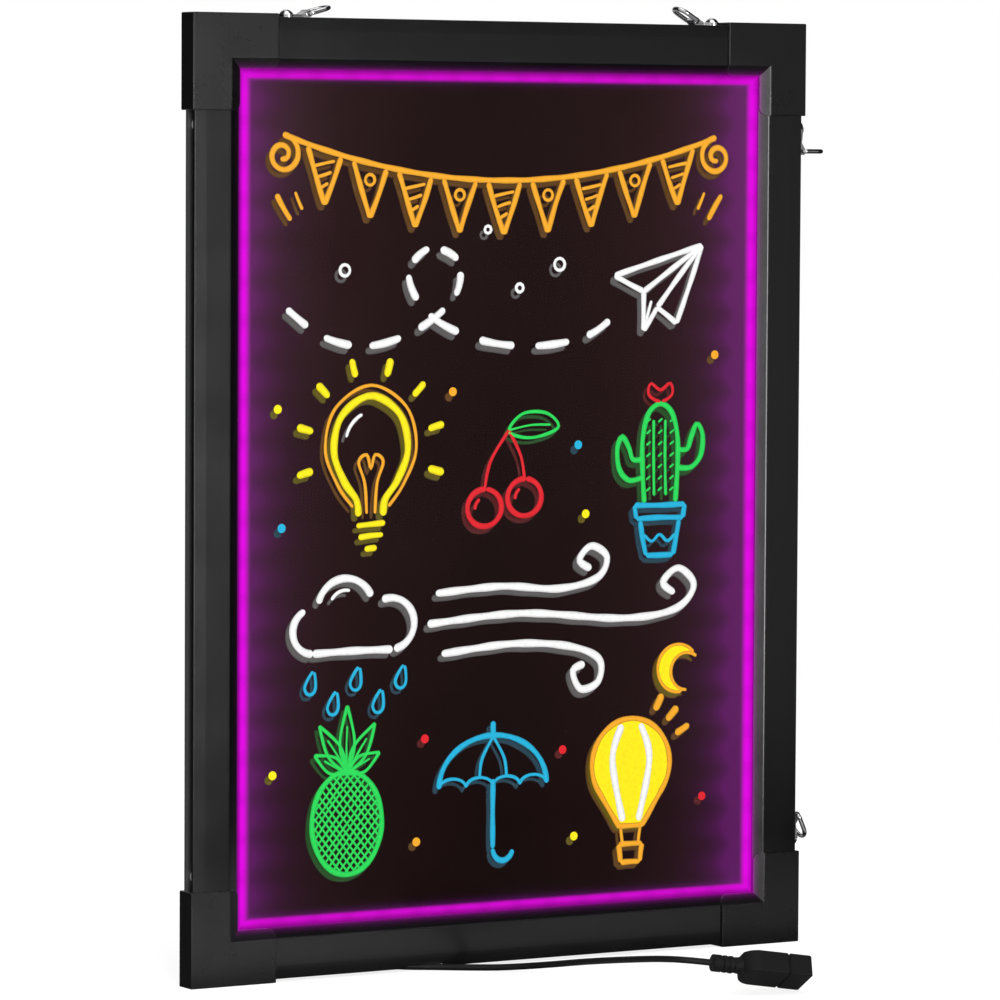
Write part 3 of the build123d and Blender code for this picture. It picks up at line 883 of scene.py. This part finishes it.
def drawCherries():
    for u, v, size in ((-9, -6, 8.5), (11, -2, 8.5)):
        stroke("Red", arc(u, v, size, size * 0.94, 80, 440, 5))
        stroke("Red", arc(u, v, size * 0.55, size * 0.5, 120, 190), "fine")
    bend("Red", [(-9, 2), (-6, 14), (3, 27)], "fine")
    bend("Red", [(11, 6), (9, 16), (3, 27)], "fine")
    bend("Green", [(3, 27), (10, 34), (22, 34), (28, 28), (18, 24), (9, 24)], "fine", True)
    bend("Green", [(3, 27), (14, 29), (24, 29)], "hair")


def drawCactus():
    trunk = [(72, -6), (71, 8), (71, 22), (74, 33), (80, 37), (86, 33), (89, 22), (89, 8), (88, -6)]
    leftArm = [(71, 5), (64, 4), (59, 9), (58, 18), (60.5, 23), (64, 18), (66, 13), (71, 13)]
    rightArm = [(89, 9), (96, 9), (101, 14), (102, 23), (99, 28), (96, 22), (94, 17), (89, 17)]
    for part in (trunk, leftArm, rightArm):
        bend("Green", part)
    for u in (77, 83):
        straight("Green", [(u, -3), (u - 0.4, 30)], "fine")
    for row in range(7):
        for u in (74, 80, 86):
            straight("Green", [(u - 1.1, row * 5 - 1), (u + 1.1, row * 5 + 0.6)], "hair")
    bend("Red", [(80, 38), (74, 41), (75, 46), (80, 43), (85, 46), (86, 41)], "fine", True)
    straight("Cyan", [(67, -7), (93, -7), (92, -13), (68, -13), (67, -7)])
    straight("Cyan", [(70, -14), (73, -29), (87, -29), (90, -14)])
    bend("Cyan", [(72, -20), (76, -23), (80, -20), (84, -23), (88, -20)], "fine")


def drawCloud():
    stroke("White", arc(-93, -56, 9.5, 9.5, 112, 272), "brush")
    stroke("White", arc(-77, -47, 13.5, 13, 22, 168), "brush")
    stroke("White", arc(-55, -54, 11.5, 11, -82, 112), "brush")
    straight("White", [(-93, -65.5), (-54, -65)], "brush")
    stroke("White", arc(-77, -47, 8, 8, 75, 150), "fine")
    for gust in (
        [(-33, -42), (0, -40), (28, -42), (48, -38), (53, -29), (45, -24), (39, -30), (45, -34)],
        [(-37, -55), (10, -52), (60, -56), (88, -53), (98, -43), (90, -35), (82, -41), (88, -46)],
        [(-30, -68), (5, -65), (33, -67), (49, -73), (49, -83), (40, -86), (36, -78), (42, -75)],
    ):
        bend("White", gust, "brush")
    for u, v in ((-94, -79), (-83, -88), (-72, -78), (-61, -88), (-50, -78)):
        drop = [(u + 1.5, v + 6), (u - 2.6, v), (u - 1.4, v - 3.4), (u + 1.4, v - 3.2), (u + 2.6, v)]
        bend("Cyan", drop, "fine", True)


def drawMoon():
    outer = arc(90, -79, 10.5, 10.5, 60, 300, -20)
    inner = arc(94.5, -80.5, 8.2, 8.2, 290, 72, -20)
    fill("Yellow", outer + inner)
    stroke("Orange", outer, "fine", layer=1)
    stroke("Orange", inner, "fine", layer=1)


def drawPineapple():
    u, v, across, up = -76, -138, 17, 22
    stroke("Green", arc(u, v, across, up), "pen", True)
    shares = [k / 7 for k in range(-6, 7)]
    for angle in (42, -42):
        hatch("Green", u, v, across - 1, up - 1, angle, shares)
    for lean, length in ((62, 18), (33, 25), (0, 29), (-33, 25), (-62, 18)):
        cosine, sine = heading(90 + lean)
        side = (-sine * 3.6, cosine * 3.6)
        ahead = (cosine * length, sine * length)
        root = (u, v + up - 1)
        tip = (root[0] + ahead[0], root[1] + ahead[1])
        for way in (-1, 1):
            bulge = (root[0] + ahead[0] * 0.45 + side[0] * way, root[1] + ahead[1] * 0.45 + side[1] * way)
            bend("Green", [root, bulge, tip], "fine")
        straight("Green", [root, (root[0] + ahead[0] * 0.7, root[1] + ahead[1] * 0.7)], "hair")


def drawUmbrella():
    u, v = -4, -126
    stroke("Cyan", arc(u, v, 27, 22, 0, 180))
    for k in range(4):
        stroke("Cyan", arc(u - 20.25 + 13.5 * k, v, 6.75, 4, 0, 180), "fine")
    for side in (-1, 1):
        bend("Cyan", [(u, v + 21.5), (u + side * 5.5, v + 12), (u + side * 6.75, v + 4)], "fine")
    straight("Cyan", [(u, v + 22), (u, v + 28)])
    straight("Cyan", [(u, v + 3), (u, v - 27)])
    stroke("Cyan", arc(u + 5, v - 27, 5, 5.5, 180, 350))


def drawBalloon():
    u, v, radius = 66, -120, 20
    lower = [(u + 6, v - 27), (u - 6, v - 27)]
    skin = arc(u, v, radius, radius, -38, 218) + lower[::-1]
    fill("Yellow", skin)
    for off in (-9.5, 9.5):
        stripe = smooth([(u + off * 0.5, v + 17.5), (u + off, v + 2), (u + off * 0.42, v - 25)])
        stroke("White", stripe, "brush", layer=1)
    stroke("Orange", skin, "pen", True, layer=1)
    straight("Orange", [(u - 5, v - 28), (u - 4, v - 35)], "fine")
    straight("Orange", [(u + 5, v - 28), (u + 4, v - 35)], "fine")
    straight("Orange", [(u - 6, v - 35), (u + 6, v - 35), (u + 5, v - 43), (u - 5, v - 43), (u - 6, v - 35)])
    for angle in (28, 45, 62):
        ray = heading(angle)
        straight("Orange", [(u + ray[0] * r, v + ray[1] * r) for r in (26, 34)], "brush")


def drawConfetti():
    for ink, u, v in (("Red", 31, -112), ("Yellow", 37, -150), ("Red", -38, -104), ("Orange", -42, -148),
                      ("Yellow", -112, -116), ("Red", 103, -136), ("Orange", 108, 58), ("Yellow", -110, 38),
                      ("Cyan", 38, 20), ("Orange", -25, 44), ("Cyan", -108, -12), ("Yellow", 42, -10)):
        fill(ink, arc(u, v, 1.9, 1.9, 0, 342))


for drawMotif in (
    drawBunting, drawPlane, drawBulb, drawCherries, drawCactus, drawCloud, drawMoon, drawPineapple,
    drawUmbrella, drawBalloon, drawConfetti,
):
    drawMotif()
print("doodles drawn:", sum(map(len, strokes.values())), "strokes")


# Ink meshes

def walkLine(line, places):
    # points at the given distances along a line
    gone, walked, found = 0.0, 0, []
    for distance in places:
        while walked < len(line) - 2 and distance > gone + math.dist(line[walked], line[walked + 1]):
            gone += math.dist(line[walked], line[walked + 1])
            walked += 1
        (ua, va), (ub, vb) = line[walked], line[walked + 1]
        step = math.dist(line[walked], line[walked + 1]) or 1
        share = (distance - gone) / step
        found.append((ua + (ub - ua) * share, va + (vb - va) * share))
    return found


def ribbon(points, width, closed, v):
    # sections of a stroke as left, ridge and right points; the ends are round
    line = points + points[:1] if closed else points
    length = sum(math.dist(a, b) for a, b in zip(line, line[1:]))
    half = width / 2
    if closed:
        count = max(8, round(length / v["spacing"]))
        places = [length * i / count for i in range(count)]
    else:
        count = max(1, round((length - width) / v["spacing"]))
        ends = [half * k for k in (0.02, 0.13, 0.4, 0.75)]
        middle = [length / 2]
        if length > width:
            middle = [half + (length - width) * i / count for i in range(count + 1)]
        places = ends + middle + [length - e for e in reversed(ends)]
        places = [p for p in places if 0 < p < length]
    centres = walkLine(line, places)
    phase, sections = wander.uniform(0, 6.28), []
    for i, (u, w) in enumerate(centres):
        before = centres[i - 1] if closed or i else centres[0]
        after = centres[(i + 1) % len(centres)] if closed or i < len(centres) - 1 else centres[-1]
        along = Vector((after[0] - before[0], after[1] - before[1])).normalized()
        reach = half * (1 + v["swell"] * math.sin(places[i] * v["swellRate"] + phase))
        if not closed:
            tip = min(places[i], length - places[i], half) / half
            reach *= math.sqrt(max(0.0, 1 - (1 - tip) ** 2))
        over, out = along.y * reach, along.x * reach
        sections.append([(u - over, w + out), (u, w), (u + over, w - out)])
    return sections


def inkMesh(name, lines, patches, front, ridge, layer, drop):
    vertices, faces, edges = [], [], []

    def put(u, w, y, edge):
        vertices.append(((board["centreX"] + u) * mm, y * mm, (board["centreZ"] + w - drop) * mm))
        edges.append(edge)
        return len(vertices) - 1

    for sections, closed, level in lines:
        base = front - layer * level
        rings = [[put(*left, base, 1.0), put(*middle, base - ridge, 0.0), put(*right, base, 1.0)]
                 for left, middle, right in sections]
        for one, two in zip(rings, rings[1:] + rings[:1] if closed else rings[1:]):
            faces += [(one[k], two[k], two[(k + 1) % 3], one[(k + 1) % 3]) for k in range(3)]
        if not closed:
            faces += [tuple(rings[0]), tuple(reversed(rings[-1]))]
    for points, level in patches:
        base = front - layer * level
        below = [put(u, w, base, 0.2) for u, w in points]
        above = [put(u, w, base - ridge, 0.2) for u, w in points]
        triangles = tessellate_polygon([[Vector((u, w, 0)) for u, w in points]])
        faces += [tuple(above[k] for k in triangle) for triangle in triangles]
        faces += [tuple(below[k] for k in reversed(triangle)) for triangle in triangles]
        faces += [(below[k - 1], below[k], above[k], above[k - 1]) for k in range(len(points))]
    mesh = bpy.data.meshes.new(name)
    mesh.from_pydata(vertices, [], faces)
    mesh.attributes.new("edge", "FLOAT", "POINT").data.foreach_set("value", edges)
    shell = bmesh.new()
    shell.from_mesh(mesh)
    bmesh.ops.recalc_face_normals(shell, faces=shell.faces)
    shell.to_mesh(mesh)
    shell.free()
    piece = addObject(name, mesh)
    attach(piece, "board")
    return piece


def buildMarker():
    # marker ink: streaked, and darker where the edge value nears 1
    tree, given, result = newGroup("markerInk", {"Edge": 0.0, "Rim Level": 0.66}, ("Level",))
    streaks = ofNoise(tree, noise(tree, objectPlace(tree), 520.0, 4.0, 0.65), 0.9, 1.06)
    rim = remap(tree, given["Edge"], 0.35, 1.0, 1.0, given["Rim Level"], True)
    setInput(result, "Level", times(tree, streaks, rim))
    return tree


markerGroup = buildMarker()


def mixInk(name, colour, glow, body, base, v):
    material, tree, shader = newMaterial(
        name, Roughness=v["roughness"], Specular_IOR_Level=v["specular"], Emission_Strength=1.0)
    edge = addNode(tree, "Attribute", attribute_name="edge").outputs["Fac"]
    level = useGroup(tree, markerGroup, Edge=edge)["Level"]
    shine = betweenShades(tree, level, colour, 0.0, glow)
    setInput(shader, "Emission Color", mixColour(tree, 1.0, shine, base, "ADD"))
    setInput(shader, "Base Color", betweenShades(tree, level, colour, 0.0, body))
    return material


def linear(screen):
    return tuple((c / 255 / 12.92) if c < 11 else ((c / 255 + 0.055) / 1.055) ** 2.4 for c in screen)


def layInk(v):
    panel, sheet = board["panelFront"] - v["lift"], board["sheetFront"] - v["echoLift"]
    for ink, screen in v["inks"].items():
        lines = [(ribbon(points, width, closed, v), closed, layer)
                 for points, width, closed, layer in strokes[ink]]
        colour = linear(screen)
        drawn = inkMesh("doodle" + ink, lines, fills[ink], panel, v["ridge"], v["layer"], 0.0)
        dress(drawn, mixInk("ink" + ink, colour, v["inkLevel"], v["inkBody"], black, v))
        # painted reflection: a dim glowing copy of each stroke on the backing sheet
        echo = inkMesh("echo" + ink, lines, fills[ink], sheet, v["echoRidge"], 0.0, v["echoDrop"])
        dress(echo, mixInk("echo" + ink, colour, v["echoLevel"], v["echoBody"], glowFinish["centre"], v))


layInk(drawing)
print("ink laid on the panel")


# Floor, world and lamps

studio = {
    "floorColour": (0.46, 0.46, 0.46),
    "glossLevels": (0.2, 1.0, 0.06, 0.55),  # the floor in gloss: far in front, close, left behind, behind
    "glossFar": (-0.26, -0.15),  # depths between which one level turns into the next
    "glossClose": (-0.056, -0.032),
    "glossBehind": (0.0, 0.03),
    "glossLeft": (-0.17, -0.13),  # and places from left to right
    "glossAcross": (-0.1, 0.2, 1.0, 0.55),  # start and end, and their levels
    "glossEnd": (0.22, 0.32, 1.0, 0.06),
    "floorLift": 0.72,
    "floorFade": (0.5, 1.1),
    "ambient": 0.42,
    "lamps": [  # name, place, aim, size, watts
        ("keyLamp", (-0.85, -2.4, 0.75), (0.1, 0, 0.2), (0.7, 1.4), 48.0),
        ("topLamp", (0.1, -0.7, 2.2), (0, 0, 0.1), (1.8, 1.4), 10.0),
        ("rearLamp", (0.5, 2.3, 0.4), (0, 0, 0.22), (1.4, 0.8), 26.0),
    ],
    # screens that only gloss can see: name, degrees from +X, lower and upper edge, light at start and end
    "flags": [
        ("leftCard", -180.0, -90.0, (-1.2, 5.0), 0.7, 0.8),
        ("crestCard", -90.0, -78.0, (-1.2, 0.5), 15.0, 15.0),
        ("facetCard", -78.0, -63.6, (-1.2, 0.5), 0.7, 0.5),
        ("greyCard", -63.6, -60.0, (-1.2, 0.5), 0.22, 0.44),
        ("dimCard", -60.0, -42.0, (-1.2, 0.5), 0.38, 0.3),
        ("upperFlag", -90.0, -42.0, (0.5, 5.0), 0.06, 0.03),
        ("sideFlag", -42.0, 45.0, (-1.2, 5.0), 0.012, 0.012),
        ("rearCard", 45.0, 100.0, (-1.2, 5.0), 0.7, 0.5),
        ("rearFlag", 100.0, 180.0, (-1.2, 5.0), 0.03, 0.02),
    ],
    "flagReach": 1.6,
}


def seenDirectly(tree):
    rays = addNode(tree, "LightPath").outputs
    shiny = doMath(tree, "MAXIMUM", rays["Is Glossy Ray"], rays["Is Transmission Ray"])
    return doMath(tree, "MAXIMUM", rays["Is Camera Ray"], shiny)


def floorInGloss(tree, v):
    # how bright the floor is where gloss mirrors it
    across, depth, _ = placeParts(tree)
    far, close, leftBehind, behind = v["glossLevels"]
    ahead = remap(tree, depth, *v["glossFar"], far, close, True)
    beside = remap(tree, depth, *v["glossClose"], close, leftBehind)
    rear = remap(tree, across, *v["glossLeft"], leftBehind, behind)
    rear = remap(tree, depth, *v["glossBehind"], 0.0, rear)
    level = doMath(tree, "MAXIMUM", doMath(tree, "MINIMUM", ahead, beside), rear)
    level = times(tree, level, remap(tree, across, *v["glossAcross"]))
    level = times(tree, level, remap(tree, across, *v["glossEnd"], True))
    return dim(tree, level, (1.0, 1.0, 1.0))


def buildFloor(v):
    mesh = bpy.data.meshes.new("floor")
    count, reach = 96, v["floorFade"][1]
    angles = [2 * math.pi * i / count for i in range(count)]
    rim = [(reach * math.cos(a), reach * math.sin(a), 0) for a in angles]
    mesh.from_pydata(rim, [], [range(count)])
    floor = addObject("floor", mesh)
    material, tree, shader = newMaterial("floorPaper", Roughness=0.9, Specular_IOR_Level=0.1)
    paper = noise(tree, objectPlace(tree), 300.0, 3.0)
    colour = betweenShades(tree, paper, v["floorColour"], 0.99, 1.0)
    rays = addNode(tree, "LightPath").outputs
    colour = mixColour(tree, rays["Is Glossy Ray"], colour, floorInGloss(tree, v))
    setInput(shader, "Base Color", colour)
    direct = doMath(tree, "MAXIMUM", rays["Is Camera Ray"], rays["Is Transmission Ray"])
    setInput(shader, "Emission Color", (1.0, 1.0, 1.0))
    setInput(shader, "Emission Strength", times(tree, direct, v["floorLift"]))
    away = doVector(tree, "LENGTH", objectPlace(tree))["Value"]
    fade = remap(tree, away, *v["floorFade"], 0.0, 1.0, True)
    clear = addNode(tree, "BsdfTransparent").outputs[0]
    mixed = addNode(tree, "MixShader", {0: fade, 1: shader.outputs[0], 2: clear}).outputs[0]
    setInput(tree.nodes["Material Output"], "Surface", mixed)
    mesh.materials.append(material)


def lightWorld(v):
    world = bpy.data.worlds.new("studio")
    scene.world = world
    world.use_nodes = True
    tree = world.node_tree
    level = remap(tree, seenDirectly(tree), 0.0, 1.0, v["ambient"], 1.0)
    background = tree.nodes["Background"]
    setInput(background, "Color", (1, 1, 1))
    setInput(background, "Strength", level)


def hangLamps(v):
    for name, where, aim, size, power in v["lamps"]:
        data = bpy.data.lights.new(name, "AREA")
        data.shape, data.energy = "RECTANGLE", power
        data.size, data.size_y = size
        lamp = addObject(name, data)
        lamp.location = where
        lamp.rotation_mode = "QUATERNION"
        lamp.rotation_quaternion = (Vector(aim) - Vector(where)).to_track_quat("-Z", "Y")
        data.use_shadow = where[1] < 0  # the rear lamp throws no shadow to the front


def setFlags(v):
    material, tree, shader = newMaterial("flagCloth", Roughness=1.0, Specular_IOR_Level=0.0)
    setInput(shader, "Emission Strength", 1.0)
    weave = noise(tree, objectPlace(tree), 200.0)
    setInput(shader, "Base Color", mixColour(tree, weave, (0.002,) * 3, (0.004,) * 3))
    light = addNode(tree, "Attribute", attribute_name="light").outputs["Color"]
    setInput(shader, "Emission Color", light)
    for name, start, end, edges, *levels in v["flags"]:
        steps = 24
        points, lights = [], []
        for i in range(steps + 1):
            share = i / steps
            angle = math.radians(start + (end - start) * share)
            points += [(v["flagReach"] * math.cos(angle), v["flagReach"] * math.sin(angle), z) for z in edges]
            lights += [levels[0] + (levels[1] - levels[0]) * share] * 2
        mesh = bpy.data.meshes.new(name)
        mesh.from_pydata(points, [], [(2 * i, 2 * i + 2, 2 * i + 3, 2 * i + 1) for i in range(steps)])
        mesh.attributes.new("light", "FLOAT", "POINT").data.foreach_set("value", lights)
        mesh.materials.append(material)
        flag = addObject(name, mesh)
        for kind in ("camera", "diffuse", "transmission", "volume_scatter", "shadow"):
            setattr(flag, "visible_" + kind, False)


buildFloor(studio)
setFlags(studio)
lightWorld(studio)
hangLamps(studio)
print("studio lit")

bpy.context.view_layer.update()
